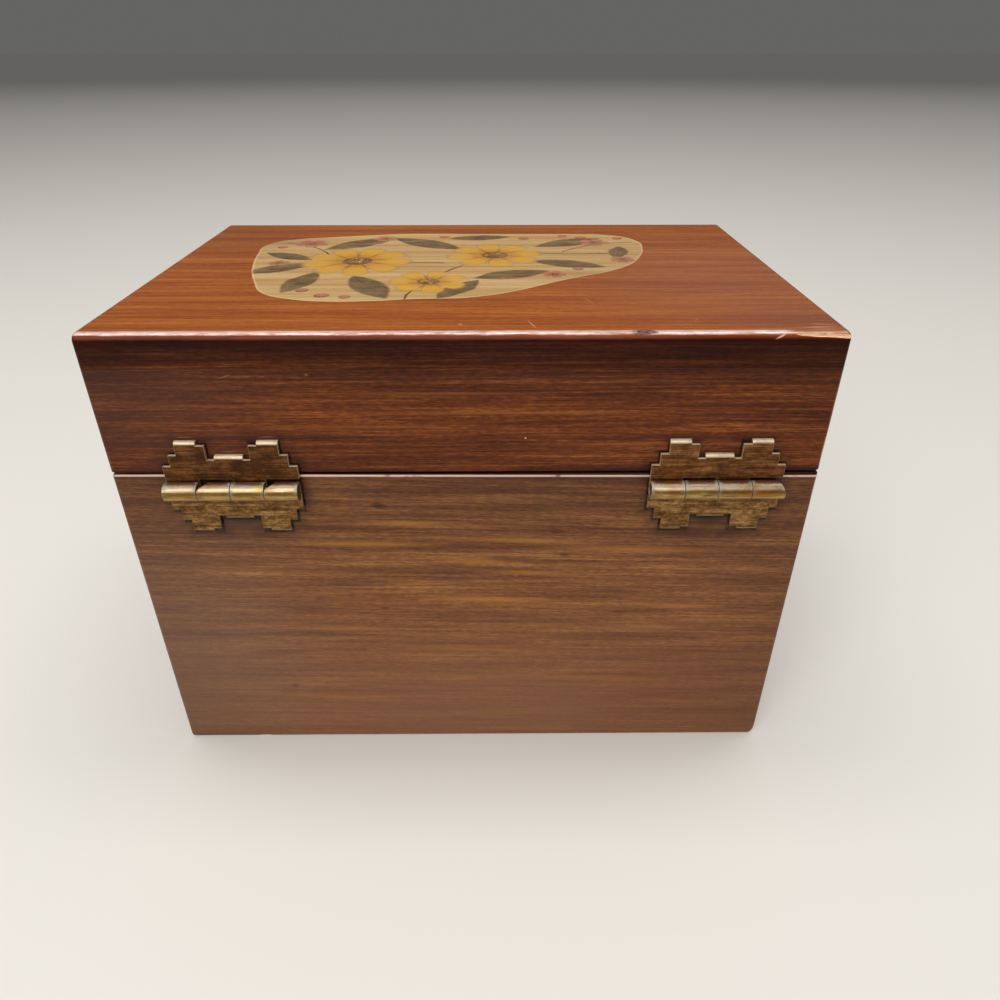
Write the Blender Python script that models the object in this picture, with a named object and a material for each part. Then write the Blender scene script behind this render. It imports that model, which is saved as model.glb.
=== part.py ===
# Recipe card box: a lacquered wooden box for index cards, with a lid on two stamped brass hinges.
# Metres, +Z up. The front faces -Y and the hinges are on the back, at +Y.
# The origin is under the box's middle.

import bpy
import bmesh
from math import pi, radians
from mathutils import Matrix, Vector

# Box, outside
BOX_WIDTH = 0.146
BOX_DEPTH = 0.100
BODY_HEIGHT = 0.0777
LID_HEIGHT = 0.0298

# Boards and their joints
WALL = 0.008
TOP_THICKNESS = 0.0068
BOTTOM_THICKNESS = 0.004
BOTTOM_SEAT = 0.004
CORNER_LIP = 0.003
GLUE_GAP = 0.0003
SEAM_GAP = 0.0004
CUT_OVERRUN = 0.002

# Rounded edges
TOP_EDGE_RADIUS = 0.0017
CORNER_RADIUS = 0.0009
SEAM_EASE = 0.0004
BASE_EASE = 0.0006
TOP_EDGE_STEPS = 4
CORNER_STEPS = 4
EASE_STEPS = 2

# Hinge places
LEFT_HINGE_FROM_END = 0.0214
RIGHT_HINGE_FROM_END = 0.0251
AXIS_BELOW_SEAM = 0.0027
LEAF_GAP = 0.0003

# Hinge sheet, barrel and pin
SHEET = 0.00075
BARREL_RADIUS = 0.00195
BARREL_LENGTH = 0.0274
KNUCKLE_GAP = 0.0002
PIN_CLEARANCE = 0.0001
PIN_INSET = 0.0002
PIN_END_RADIUS = 0.0003
KNUCKLES_PER_LEAF = 2
CURL_ANGLE = radians(296)
CURL_STEPS = 20
PIN_SIDES = 24
PIN_END_STEPS = 2

# Leaf outline, from the pin's axis outwards
BASE_HEIGHT = 0.0051
SHOULDER_HEIGHT = 0.00765
CROWN_HEIGHT = 0.0098
NOTCH_HEIGHT = 0.0066
STEP_WIDTH = 0.00165
SLOT_CLEARANCE = 0.00025

# The notch is a share of the width over both crowns, and each prong is a share of its crown or notch
NOTCH_SHARE = 0.423
CROWN_PRONG_SHARE = 0.717
NOTCH_PRONG_SHARE = 0.66

# Prongs bent into the wood
PRONG_DEPTH = 0.0052
BEND_RADIUS = 0.0005
BEND_STEPS = 5
POCKET_CLEARANCE = 0.0003

# Two points closer than this are one, and two faces meeting at less than this angle are shaded as one
SAME_PLACE = 0.00002
SMOOTH_ANGLE = radians(40)

# Places that follow from the sizes above
HALF_WIDTH = BOX_WIDTH / 2
HALF_DEPTH = BOX_DEPTH / 2
BOX_HEIGHT = BODY_HEIGHT + LID_HEIGHT
LID_LOW = BODY_HEIGHT + SEAM_GAP
TOP_LOW = BOX_HEIGHT - TOP_THICKNESS
LID_HIGH = TOP_LOW - GLUE_GAP
INNER_RADIUS = BARREL_RADIUS - SHEET
SHEET_RADIUS = BARREL_RADIUS - SHEET / 2
AXIS_Y = HALF_DEPTH + LEAF_GAP + BARREL_RADIUS
AXIS_Z = BODY_HEIGHT - AXIS_BELOW_SEAM
HINGE_PLACES = {
    "left": LEFT_HINGE_FROM_END - HALF_WIDTH,
    "right": HALF_WIDTH - RIGHT_HINGE_FROM_END,
}

# Colour, roughness and metallic value of each material
FINISHES = {
    "stained_wood": ((0.17, 0.045, 0.018, 1), 0.3, 0),
    "stained_top_wood": ((0.36, 0.11, 0.035, 1), 0.25, 0),
    "bare_wood": ((0.55, 0.34, 0.17, 1), 0.7, 0),
    "antique_brass": ((0.36, 0.22, 0.08, 1), 0.4, 1),
    "pin_wire": ((0.55, 0.44, 0.2, 1), 0.3, 1),
}


def clear_scene():
    for obj in list(bpy.data.objects):
        bpy.data.objects.remove(obj)


# The material of that name, made when it is first asked for.
def finish(name):
    if name in bpy.data.materials:
        return bpy.data.materials[name]
    colour, roughness, metallic = FINISHES[name]
    material = bpy.data.materials.new(name)
    material.use_nodes = True
    shader = material.node_tree.nodes["Principled BSDF"]
    shader.inputs["Base Color"].default_value = colour
    shader.inputs["Roughness"].default_value = roughness
    shader.inputs["Metallic"].default_value = metallic
    material.diffuse_color = colour
    return material


def mesh_from(bm, name):
    bmesh.ops.recalc_face_normals(bm, faces=bm.faces)
    mesh = bpy.data.meshes.new(name)
    bm.to_mesh(mesh)
    bm.free()
    mesh.shade_smooth()
    mesh.set_sharp_from_angle(angle=SMOOTH_ANGLE)
    return mesh


# Adds an object whose mesh is in the box's own coordinates, or in its parent's when at_parent is true.
def add_object(name, mesh, parent=None, at_parent=False):
    obj = bpy.data.objects.new(name, mesh)
    bpy.context.scene.collection.objects.link(obj)
    obj.parent = parent
    if parent and not at_parent:
        obj.matrix_parent_inverse = parent.matrix_world.inverted()
    return obj


def add_axis(name, place):
    axis = bpy.data.objects.new(name, None)
    bpy.context.scene.collection.objects.link(axis)
    axis.location = place
    return axis


def box_in(bm, low, high):
    size = Vector(high) - Vector(low)
    middle = (Vector(high) + Vector(low)) / 2
    place = Matrix.Translation(middle) @ Matrix.Diagonal(size.to_4d())
    bmesh.ops.create_cube(bm, size=1, matrix=place)


def extruded_plan(plan, low, high):
    bm = bmesh.new()
    face = bm.faces.new([bm.verts.new((x, y, low)) for x, y in plan])
    grown = bmesh.ops.extrude_face_region(bm, geom=[face])
    top = [item for item in grown["geom"] if isinstance(item, bmesh.types.BMVert)]
    bmesh.ops.translate(bm, verts=top, vec=(0, 0, high - low))
    return bm


def same(a, b):
    return abs(a - b) < SAME_PLACE


# Rounds over the edges that the test picks by their two ends.
def ease(bm, picked, radius, steps):
    edges = [edge for edge in bm.edges if picked(edge.verts[0].co, edge.verts[1].co)]
    bmesh.ops.bevel(bm, geom=edges, offset=radius, segments=steps, profile=0.5, affect="EDGES")


def is_box_corner(a, b):
    upright = same(a.x, b.x) and same(a.y, b.y)
    return upright and same(abs(a.x), HALF_WIDTH) and same(abs(a.y), HALF_DEPTH)


# True for an edge of the outer skin at height z. The skin curves in by the corner radius.
def is_rim(a, b, z):
    middle = (a + b) / 2
    inset = max(abs(middle.x) - HALF_WIDTH, abs(middle.y) - HALF_DEPTH)
    return same(a.z, z) and same(b.z, z) and -CORNER_RADIUS / 2 < inset


# Plan of a front or back board. Its ends are rebated, which leaves a lip outside the side boards.
def long_board_plan(facing):
    outer = facing * HALF_DEPTH
    lip = facing * (HALF_DEPTH - CORNER_LIP)
    inner = facing * (HALF_DEPTH - WALL)
    shoulder = HALF_WIDTH - WALL - GLUE_GAP
    right_half = [(HALF_WIDTH, outer), (HALF_WIDTH, lip), (shoulder, lip), (shoulder, inner)]
    left_half = [(-x, y) for x, y in reversed(right_half)]
    return right_half + left_half


# Plan of a side board, whose ends stand in the rebates of the front and back boards.
def side_board_plan(facing):
    outer = facing * HALF_WIDTH
    inner = facing * (HALF_WIDTH - WALL)
    end = HALF_DEPTH - CORNER_LIP - GLUE_GAP
    return [(outer, -end), (outer, end), (inner, end), (inner, -end)]


# One wall of the body or the lid. Its rims are eased by the radii given for their heights.
def wall_board(name, plan, low, high, rims, parent):
    bm = extruded_plan(plan, low, high)
    ease(bm, is_box_corner, CORNER_RADIUS, CORNER_STEPS)
    for height, radius in rims.items():
        ease(bm, lambda a, b: is_rim(a, b, height), radius, EASE_STEPS)
    board = add_object(name, mesh_from(bm, name), parent)
    board.data.materials.append(finish("stained_wood"))
    return board


def walls(prefix, low, high, rims, parent=None):
    plans = {
        "front": long_board_plan(-1),
        "back": long_board_plan(1),
        "left": side_board_plan(-1),
        "right": side_board_plan(1),
    }
    return {
        side: wall_board(f"{prefix}_{side}_board", plan, low, high, rims, parent)
        for side, plan in plans.items()
    }


# True for the top board's upper edge along the front or the back.
def is_long_top_edge(a, b):
    return same(a.z, BOX_HEIGHT) and same(b.z, BOX_HEIGHT) and same(abs(a.y), HALF_DEPTH) and same(a.y, b.y)


# True for the edges round the top board's two ends, but for those at its underside.
def is_end_outline(a, b):
    at_end = same(abs(a.x), HALF_WIDTH) and same(a.x, b.x)
    return at_end and not (same(a.z, TOP_LOW) and same(b.z, TOP_LOW))


# The lid's top board lies over all four walls. Its front and back edges are rounded right over, and its
# ends are eased like the box's corners.
def top_board(parent):
    bm = bmesh.new()
    box_in(bm, (-HALF_WIDTH, -HALF_DEPTH, TOP_LOW), (HALF_WIDTH, HALF_DEPTH, BOX_HEIGHT))
    ease(bm, is_long_top_edge, TOP_EDGE_RADIUS, TOP_EDGE_STEPS)
    ease(bm, is_end_outline, CORNER_RADIUS, CORNER_STEPS)
    board = add_object("lid_top_board", mesh_from(bm, "lid_top_board"), parent)
    board.data.materials.append(finish("stained_top_wood"))


# How far from the middle the bottom board's ends and long sides lie.
def bottom_reach():
    inside = BOTTOM_SEAT - WALL
    return HALF_WIDTH + inside, HALF_DEPTH + inside


def bottom_board():
    reach_x, reach_y = bottom_reach()
    bm = bmesh.new()
    box_in(bm, (-reach_x, -reach_y, 0), (reach_x, reach_y, BOTTOM_THICKNESS))
    board = add_object("body_bottom_board", mesh_from(bm, "body_bottom_board"))
    board.data.materials.append(finish("bare_wood"))


def add_cutter(name, boxes):
    bm = bmesh.new()
    for low, high in boxes:
        box_in(bm, low, high)
    cutter = add_object(name, mesh_from(bm, name))
    cutter.hide_render = True
    cutter.display_type = "WIRE"
    return cutter


def cut(board, cutter):
    boolean = board.modifiers.new(cutter.name, "BOOLEAN")
    boolean.operation = "DIFFERENCE"
    boolean.solver = "EXACT"
    boolean.object = cutter


# The rebate round the foot of the walls that the bottom board lies in.
def seat_bottom_board(boards):
    reach_x, reach_y = (reach + GLUE_GAP for reach in bottom_reach())
    low = (-reach_x, -reach_y, -CUT_OVERRUN)
    high = (reach_x, reach_y, BOTTOM_THICKNESS + GLUE_GAP)
    cutter = add_cutter("bottom_seat", [(low, high)])
    for board in boards.values():
        cut(board, cutter)


# Where a crown ends and the notch begins, from the middle of the leaf.
def crown_ends():
    crown_end = BARREL_LENGTH / 2 - 2 * STEP_WIDTH
    return crown_end, crown_end * NOTCH_SHARE


# Each prong's two ends along the pin, and how far from the pin's axis it leaves the plate.
def prongs():
    crown_end, notch_end = crown_ends()
    on_crown = crown_end - (crown_end - notch_end) * CROWN_PRONG_SHARE
    in_notch = notch_end * NOTCH_PRONG_SHARE
    return [
        (on_crown, crown_end, CROWN_HEIGHT),
        (-in_notch, in_notch, NOTCH_HEIGHT),
        (-crown_end, -on_crown, CROWN_HEIGHT),
    ]


# The stretches of the barrel that a leaf curls round, each as its two ends along the pin. The other leaf,
# turned end for end, has the stretches between.
def knuckles():
    half = BARREL_LENGTH / 2
    pitch = half / KNUCKLES_PER_LEAF
    starts = [2 * index * pitch - half + pitch for index in range(KNUCKLES_PER_LEAF)]
    return [(start + KNUCKLE_GAP / 2, min(start + pitch - KNUCKLE_GAP / 2, half)) for start in starts]


# The flat blank's outline (along the pin, away from the pin), with a tab down to the axis for each knuckle.
def leaf_outline():
    half = BARREL_LENGTH / 2
    shoulder = half - STEP_WIDTH
    crown_end, notch_end = crown_ends()
    crown_prong, notch_prong, _ = prongs()
    head = [
        (half, BASE_HEIGHT),
        (shoulder, BASE_HEIGHT),
        (shoulder, SHOULDER_HEIGHT),
        (crown_end, SHOULDER_HEIGHT),
        (crown_end, CROWN_HEIGHT),
        (crown_prong[0], CROWN_HEIGHT),
        (notch_end, CROWN_HEIGHT),
        (notch_end, NOTCH_HEIGHT),
        (notch_prong[1], NOTCH_HEIGHT),
    ]
    mirrored = [(-x, z) for x, z in reversed(head)]
    slot = BARREL_RADIUS + SLOT_CLEARANCE
    foot = [(-half, slot)]
    for start, end in knuckles():
        foot += [(start, slot), (start, 0), (end, 0), (end, slot)]
    return head + mirrored + foot + [(half, slot)]


# The edges that lie between two places along the pin, at one height.
def edges_between(bm, start, end, height):
    def inside(co):
        return start - SAME_PLACE < co.x < end + SAME_PLACE and same(co.z, height)

    return [edge for edge in bm.edges if all(inside(vert.co) for vert in edge.verts)]


def spun(bm, edges, centre, angle, steps):
    turned = bmesh.ops.spin(
        bm, geom=edges, cent=centre, axis=(1, 0, 0), dvec=(0, 0, 0), angle=angle, steps=steps
    )
    return [item for item in turned["geom_last"] if isinstance(item, bmesh.types.BMEdge)]


# A hinge leaf, stamped from sheet: the stepped plate, two knuckles curled round the pin and three prongs
# bent square into the wood. Its origin is on the pin's axis at the middle of the barrel.
def leaf_mesh():
    bm = bmesh.new()
    plate_y = -SHEET_RADIUS
    bm.faces.new([bm.verts.new((x, plate_y, z)) for x, z in leaf_outline()])
    knuckle_edges = [edges_between(bm, start, end, 0) for start, end in knuckles()]
    prong_edges = [edges_between(bm, *prong) for prong in prongs()]
    for edges in knuckle_edges:
        spun(bm, edges, (0, 0, 0), CURL_ANGLE, CURL_STEPS)
    for edges, (_, _, height) in zip(prong_edges, prongs()):
        centre = (0, plate_y - BEND_RADIUS, height)
        bent = spun(bm, edges, centre, radians(90), BEND_STEPS)
        run = bmesh.ops.extrude_edge_only(bm, edges=bent)
        ends = [item for item in run["geom"] if isinstance(item, bmesh.types.BMVert)]
        reach = LEAF_GAP + SHEET / 2 + PRONG_DEPTH - BEND_RADIUS
        bmesh.ops.translate(bm, verts=ends, vec=(0, -reach, 0))
    return mesh_from(bm, "hinge_leaf")


def add_leaf(name, mesh, place, turned, parent=None):
    leaf = add_object(name, mesh, parent, at_parent=True)
    leaf.location = place
    leaf.rotation_euler = (0, pi if turned else 0, 0)
    sheet = leaf.modifiers.new("sheet", "SOLIDIFY")
    sheet.thickness = SHEET
    sheet.offset = 0
    sheet.use_even_offset = True
    return leaf


def pin_mesh():
    radius = INNER_RADIUS - PIN_CLEARANCE
    length = BARREL_LENGTH - 2 * PIN_INSET
    bm = bmesh.new()
    along_x = Matrix.Rotation(pi / 2, 4, "Y")
    bmesh.ops.create_cone(
        bm, cap_ends=True, segments=PIN_SIDES, radius1=radius, radius2=radius, depth=length, matrix=along_x
    )
    ease(bm, lambda a, b: same(a.x, b.x), PIN_END_RADIUS, PIN_END_STEPS)
    return mesh_from(bm, "hinge_pin")


# Room in the wood for the prongs of both hinges: side is 1 for the lid's leaves and -1 for the body's.
def prong_pockets(name, side):
    deep = HALF_DEPTH - PRONG_DEPTH - POCKET_CLEARANCE
    boxes = []
    for x in HINGE_PLACES.values():
        for start, end, height in prongs():
            middle = AXIS_Z + side * (height + BEND_RADIUS)
            reach = SHEET / 2 + POCKET_CLEARANCE
            low = (x + start - POCKET_CLEARANCE, deep, middle - reach)
            high = (x + end + POCKET_CLEARANCE, HALF_DEPTH + CUT_OVERRUN, middle + reach)
            boxes.append((low, high))
    return add_cutter(name, boxes)


def add_hinges(lid_axis):
    leaf = leaf_mesh()
    leaf.materials.append(finish("antique_brass"))
    pin = pin_mesh()
    pin.materials.append(finish("pin_wire"))
    for side, x in HINGE_PLACES.items():
        add_leaf(f"{side}_hinge_lid_leaf", leaf, (x, 0, 0), False, lid_axis)
        add_leaf(f"{side}_hinge_body_leaf", leaf, (x, AXIS_Y, AXIS_Z), True)
        wire = add_object(f"{side}_hinge_pin", pin)
        wire.location = (x, AXIS_Y, AXIS_Z)


def build():
    clear_scene()
    lid_axis = add_axis("lid_axis", (0, AXIS_Y, AXIS_Z))
    bpy.context.view_layer.update()
    body = walls("body", 0, BODY_HEIGHT, {0: BASE_EASE, BODY_HEIGHT: SEAM_EASE})
    lid = walls("lid", LID_LOW, LID_HIGH, {LID_LOW: SEAM_EASE}, lid_axis)
    top_board(lid_axis)
    bottom_board()
    seat_bottom_board(body)
    cut(body["back"], prong_pockets("body_prong_pockets", -1))
    cut(lid["back"], prong_pockets("lid_prong_pockets", 1))
    add_hinges(lid_axis)


build()
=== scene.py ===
# Recipe card box: stained and lacquered wood, a lid on two stamped brass hinges, an unstained panel on top.
import bpy
import bmesh
from math import atan2, cos, pi, radians, sin
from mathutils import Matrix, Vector


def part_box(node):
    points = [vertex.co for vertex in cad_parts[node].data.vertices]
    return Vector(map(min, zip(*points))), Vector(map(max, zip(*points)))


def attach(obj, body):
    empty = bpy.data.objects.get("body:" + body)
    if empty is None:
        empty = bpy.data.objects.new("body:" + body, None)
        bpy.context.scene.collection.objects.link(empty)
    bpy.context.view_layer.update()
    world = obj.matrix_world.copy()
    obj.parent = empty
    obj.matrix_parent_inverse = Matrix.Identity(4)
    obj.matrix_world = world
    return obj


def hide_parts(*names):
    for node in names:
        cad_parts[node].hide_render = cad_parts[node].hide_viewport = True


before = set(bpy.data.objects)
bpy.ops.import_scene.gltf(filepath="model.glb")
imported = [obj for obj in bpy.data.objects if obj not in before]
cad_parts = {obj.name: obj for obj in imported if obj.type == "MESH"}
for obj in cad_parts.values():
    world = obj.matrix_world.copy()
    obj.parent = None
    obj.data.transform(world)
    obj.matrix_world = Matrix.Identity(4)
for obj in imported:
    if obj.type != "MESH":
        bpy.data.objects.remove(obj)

mm = 0.001
shape = bpy.ops.mesh
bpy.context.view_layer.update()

# The corners of the CAD boards, which every new piece keeps to
topLow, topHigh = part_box("lid_top_board")
bodyLow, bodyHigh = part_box("body_back_board")
lidLow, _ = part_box("lid_back_board")
sideLow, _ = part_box("body_right_board")
halfWidth, halfDepth = topHigh.x, topHigh.y
wallX, wallY = sideLow.x, bodyLow.y
topFace = 107.5         # height of the top, in millimetres as all lengths in materials


# Handling: what a maker does with the mouse

def letGo():
    bpy.ops.object.select_all(action="DESELECT")


def pickAll():
    shape.select_all(action="SELECT")


def only(obj):
    letGo()
    obj.select_set(True)
    bpy.context.view_layer.objects.active = obj


def openUp(obj):
    only(obj)
    bpy.ops.object.mode_set(mode="EDIT")
    shape.select_all(action="DESELECT")


def close():
    bpy.ops.object.mode_set(mode="OBJECT")


# picks the points, edges or faces of the opened piece that pass the test, and counts them
def pick(kind, test):
    shape.select_mode(type=kind)
    shape.select_all(action="DESELECT")
    mesh = bpy.context.edit_object.data
    bm = bmesh.from_edit_mesh(mesh)
    parts = {"VERT": bm.verts, "EDGE": bm.edges, "FACE": bm.faces}[kind]
    chosen = [part for part in parts if test(part)]
    for part in chosen:
        part.select_set(True)
    bm.select_flush_mode()
    bmesh.update_edit_mesh(mesh)
    return len(chosen)


def near(a, b, reach=0.02 * mm):
    return abs(a - b) < reach


def middle(part):
    return sum((v.co for v in part.verts), Vector()) / len(part.verts)


# a square block between two corners, to be shaped further
def block(name, low, high):
    low, high = Vector(low), Vector(high)
    letGo()
    shape.primitive_cube_add(size=1, location=(low + high) / 2, scale=high - low)
    obj = bpy.context.object
    obj.name = obj.data.name = name
    bpy.ops.object.transform_apply()
    return obj


def copyOf(obj, name):
    only(obj)
    bpy.ops.object.duplicate(linked=False)
    made = bpy.context.object
    made.name = made.data.name = name
    return made


def finishWith(obj, kind, **settings):
    only(obj)
    modifier = obj.modifiers.new(kind.lower(), kind)
    for key, value in settings.items():
        setattr(modifier, key, value)
    bpy.ops.object.modifier_apply(modifier=modifier.name)


def easeEdges(obj, width, steps, **others):
    finishWith(obj, "BEVEL", width=width * mm, segments=steps, limit_method="ANGLE", angle_limit=radians(40),
               **others)


def cutAway(obj, cutter, **others):
    finishWith(obj, "BOOLEAN", operation="DIFFERENCE", solver="EXACT", object=cutter, **others)
    bpy.data.objects.remove(cutter)


def paintWith(obj, *looks):
    obj.data.materials.clear()
    for look in looks:
        obj.data.materials.append(look)


# round edges shade smoothly, and the broad faces between them stay flat
def smooth(obj, angle=35):
    only(obj)
    bpy.ops.object.shade_smooth_by_angle(angle=radians(angle))
    finishWith(obj, "WEIGHTED_NORMAL", mode="FACE_AREA", weight=50, keep_sharp=True)


# Materials: a wire is one socket, and Python's own signs add its Math nodes

class Wire:
    def __init__(self, look, socket):
        self.look, self.socket = look, socket

    def maths(self, kind, b=0.0, a=None):
        return self.look.node("Math", {"operation": kind}, {0: self if a is None else a, 1: b})

    def __add__(self, other):
        return self.maths("ADD", other)

    __radd__ = __add__

    def __sub__(self, other):
        return self.maths("SUBTRACT", other)

    def __rsub__(self, other):
        return self.maths("SUBTRACT", self, other)

    def __mul__(self, other):
        return self.maths("MULTIPLY", other)

    __rmul__ = __mul__

    def __truediv__(self, other):
        return self.maths("DIVIDE", other)

    def __abs__(self):
        return self.maths("ABSOLUTE")

    def most(self, other):
        return self.maths("MAXIMUM", other)

    def least(self, other):
        return self.maths("MINIMUM", other)

    def wave(self):
        return self.maths("SINE")

    def fraction(self):
        return self.maths("FRACT")

    def angleTo(self, other):
        return self.maths("ARCTAN2", self, other)


class Look:
    def __init__(self, tree):
        self.tree = tree
        tree.nodes.clear()

    # any node: its type, its settings, then a value or a wire for each socket
    def node(self, kind, settings=None, sockets=None, out=0):
        made = self.tree.nodes.new("ShaderNode" + kind)
        for key, value in (settings or {}).items():
            if key == "stops":
                ramp = made.color_ramp.elements
                while len(ramp) < len(value):
                    ramp.new(0.5)
                for stop, (at, tone) in zip(ramp, value):
                    stop.position, stop.color = at, tone
            elif key == "points":
                line = made.mapping.curves[0].points
                while len(line) < len(value):
                    line.new(0.5, 0.5)
                for point, at in zip(line, value):
                    point.location = at
                made.mapping.update()
            else:
                setattr(made, key, value)
        for key, value in (sockets or {}).items():
            if isinstance(value, Wire):
                self.tree.links.new(value.socket, made.inputs[key])
            else:
                made.inputs[key].default_value = value
        return Wire(self, made.outputs[out]) if made.outputs else made

    # the place on the piece in millimetres, turned and shifted
    def place(self, turn=0, shift=(0, 0, 0), tilt=0):
        return self.node("Mapping", {"vector_type": "POINT"}, {
            "Vector": self.node("TexCoord", out="Object"), "Location": shift,
            "Rotation": (0, radians(tilt), radians(turn)), "Scale": (1 / mm,) * 3})

    # the same place seen from a mark's own middle, in units of the mark's size
    def local(self, where, at, size, turn=(0, 0, 0)):
        return self.node("Mapping", {"vector_type": "TEXTURE"}, {
            "Vector": where, "Location": at, "Rotation": turn, "Scale": size})

    def split(self, where):
        node = self.node("SeparateXYZ", {}, {0: where}).socket.node
        return [Wire(self, socket) for socket in node.outputs]

    def shifted(self, where, x=0.0, y=0.0, z=0.0):
        by = self.node("CombineXYZ", {}, {0: x, 1: y, 2: z})
        return self.node("VectorMath", {"operation": "ADD"}, {0: where, 1: by})

    def length(self, where):
        return self.node("VectorMath", {"operation": "LENGTH"}, {0: where}, "Value")

    # noise whose spots are about as long and as wide as given, in millimetres
    def noise(self, where, long, wide, detail=2.0, rough=0.5, tall=None):
        cells = self.node("Mapping", {"vector_type": "POINT"}, {
            "Vector": where, "Scale": (1 / long, 1 / wide, 1 / (tall or wide))})
        return self.node("TexNoise", {}, {
            "Vector": cells, "Scale": 1.0, "Detail": detail, "Roughness": rough})

    # 0 below low and 1 above high, with a soft change between
    def rise(self, value, low, high, first=0.0, last=1.0):
        return self.node("MapRange", {"interpolation_type": "SMOOTHSTEP"}, {
            "Value": value, "From Min": low, "From Max": high, "To Min": first, "To Max": last})

    def fall(self, value, low, high):
        return self.rise(value, low, high, 1.0, 0.0)

    # colours are given as a picture editor shows them
    def tint(self, a, b, share, way="MIX"):
        a, b = (part if isinstance(part, Wire) else paint(*part) for part in (a, b))
        return self.node("Mix", {"data_type": "RGBA", "blend_type": way}, {0: share, 6: a, 7: b}, 2)

    def ramp(self, value, stops):
        return self.node("ValToRGB", {"stops": [(at, paint(*tone)) for at, tone in stops]}, {0: value})

    def curve(self, value, points):
        return self.node("FloatCurve", {"points": points}, {"Factor": 1.0, "Value": value})

    def bump(self, height, depth):
        return self.node("Bump", {}, {"Height": height, "Strength": 1.0, "Distance": depth * mm})

    def finish(self, base, roughness, metallic=0.0, **others):
        shader = self.node("BsdfPrincipled", {}, {
            "Base Color": base, "Roughness": roughness, "Metallic": metallic, **others})
        self.node("OutputMaterial", {}, {"Surface": shader})


def newLook(name):
    material = bpy.data.materials.new(name)
    material.use_nodes = True
    return material, Look(material.node_tree)


# the values that a shader takes for a colour
def paint(red, green, blue):
    return tuple((part / 255) ** 2.2 for part in (red, green, blue)) + (1.0,)


# The stained and lacquered wood

# fibres, threads and bands have a length, a width and a share, and rings a step, a lean and a share
lidWood = dict(
    fibre=(16, 0.24, 1.1), thread=(42, 0.75, 0.8), band=(80, 3.4, 0.6), speck=0.6,
    rings=(3.1, 0.012, 0.04), bend=1.2, shine=0.14, calm=1,
    tones=[(0, (50, 23, 13)), (0.35, (83, 41, 21)), (0.55, (101, 52, 25)), (0.75, (126, 70, 32)),
           (1, (158, 94, 46))],
)
bodyWood = dict(
    fibre=(18, 0.26, 1.05), thread=(44, 0.9, 0.75), band=(55, 3.6, 0.42), speck=0.6,
    rings=(6.4, 0.075, 0.06), bend=6, shine=0.18, calm=0.6,
    tones=[(0, (76, 45, 30)), (0.35, (106, 66, 42)), (0.55, (124, 80, 49)), (0.75, (147, 98, 56)),
           (1, (176, 120, 66))],
)
topWood = dict(
    fibre=(26, 0.26, 1.2), thread=(60, 0.9, 0.75), band=(90, 3.8, 0.5), speck=0.4,
    rings=(5, 0.02, 0.04), bend=2.5, shine=0.09,
    tones=[(0, (98, 41, 17)), (0.35, (137, 69, 27)), (0.55, (156, 85, 34)), (0.75, (173, 102, 44)),
           (1, (195, 125, 60))],
)
bareWood = dict(
    fibre=(20, 0.3, 0.8), thread=(60, 1.2, 0.9), band=(80, 4, 0.8), speck=0.25,
    rings=(7.3, 0.05, 0.05), bend=9, roughness=0.62, depth=0.03,
    tones=[(0, (166, 123, 72)), (0.4, (195, 155, 101)), (0.6, (208, 171, 116)), (1, (226, 196, 146))],
)
lacquer = dict(
    roughness=0.26, wornRoughness=0.5, orangePeel=0.010, grainDepth=0.012, coatRoughness=0.2, coatGloss=2.0,
)


# light and dark of the grain, as one value around a half
def grain(look, where, wood):
    drift = (look.noise(where, 75, 34, 1.5) - 0.5) * wood["bend"]
    bent = look.shifted(where, 0.0, drift, drift)
    x, y, z = look.split(bent)
    step, lean, ringShare = wood["rings"]
    rings = (z * 0.92 + y * 0.39 + x * lean) * (2 * pi / step)
    tone = (look.noise(where, 1.5, 0.3, 1) - 0.5) * wood["speck"]
    layers = (("fibre", where, 3, 0.65), ("thread", where, 2, 0.6), ("band", bent, 2, 0.5))
    for layer, cells, detail, rough in layers:
        long, wide, share = wood[layer]
        tone = tone + (look.noise(cells, long, wide, detail, rough) - 0.5) * share
    return tone + rings.wave() * ringShare + 0.5, bent


# how dark the brushed-on toning is at each height of the box; the deepest dip, at 78.2 mm on the lid's lower
# rounded edge, is painted shade in the seam gap
toningAndSeamShade = dict(
    heights=[(0, 0.94), (2, 0.98), (12, 1), (40, 1), (54, 0.94), (62, 0.82), (68, 0.72), (73, 0.64),
             (77.7, 0.52), (78.2, 0.16), (78.5, 0.24), (78.8, 0.5), (79.1, 0.72), (79.5, 0.86), (80.5, 0.93),
             (85, 1), (91, 1), (95, 0.84), (98.5, 0.62), (101.5, 0.42), (103.5, 0.26), (105, 0.16),
             (106.2, 0.17), (106.9, 0.6), (107.5, 1)],
    wobble=2.4,
    ends=(50, 73, 0.8),
    tone=(76, 26, 12),
)


# the toning's darkness at each point, with the painted shade at the seam
def toneAndSeamShadeByHeight(look, plain):
    x, y, z = look.split(plain)
    wobble = (look.noise(plain, 22, 9, 2) - 0.5) * toningAndSeamShade["wobble"]
    share = look.curve((z + wobble) / topFace, [(at / topFace, level) for at, level in toningAndSeamShade["heights"]])
    start, full, dark = toningAndSeamShade["ends"]
    ends = 1 - look.rise(abs(x) + wobble * 2, start, full) * (1 - dark)
    return share * ends


# a knot, dent, scratch or stain: a soft spot of its own colour
def mark(at, size, tone, share, soft=0.2, turn=(0, 0, 0)):
    return at, size, tuple(map(radians, turn)), tone, share, soft


def onBack(x, z, long, wide, tone, share, soft=0.2, lean=0):
    return mark((x, 50, z), (long, 1.5, wide), tone, share, soft, (0, lean, 0))


def onTop(x, y, long, wide, tone, share, soft=0.2, turn=0):
    return mark((x, y, topFace), (long, wide, 1), tone, share, soft, (0, 0, turn))


def addMarks(look, plain, colourWire, marks):
    for at, size, turn, tone, share, soft in marks:
        beyond = look.length(look.local(plain, at, size, turn))
        colourWire = look.tint(colourWire, tone, look.fall(beyond, soft, 1.0) * share)
    return colourWire


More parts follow.
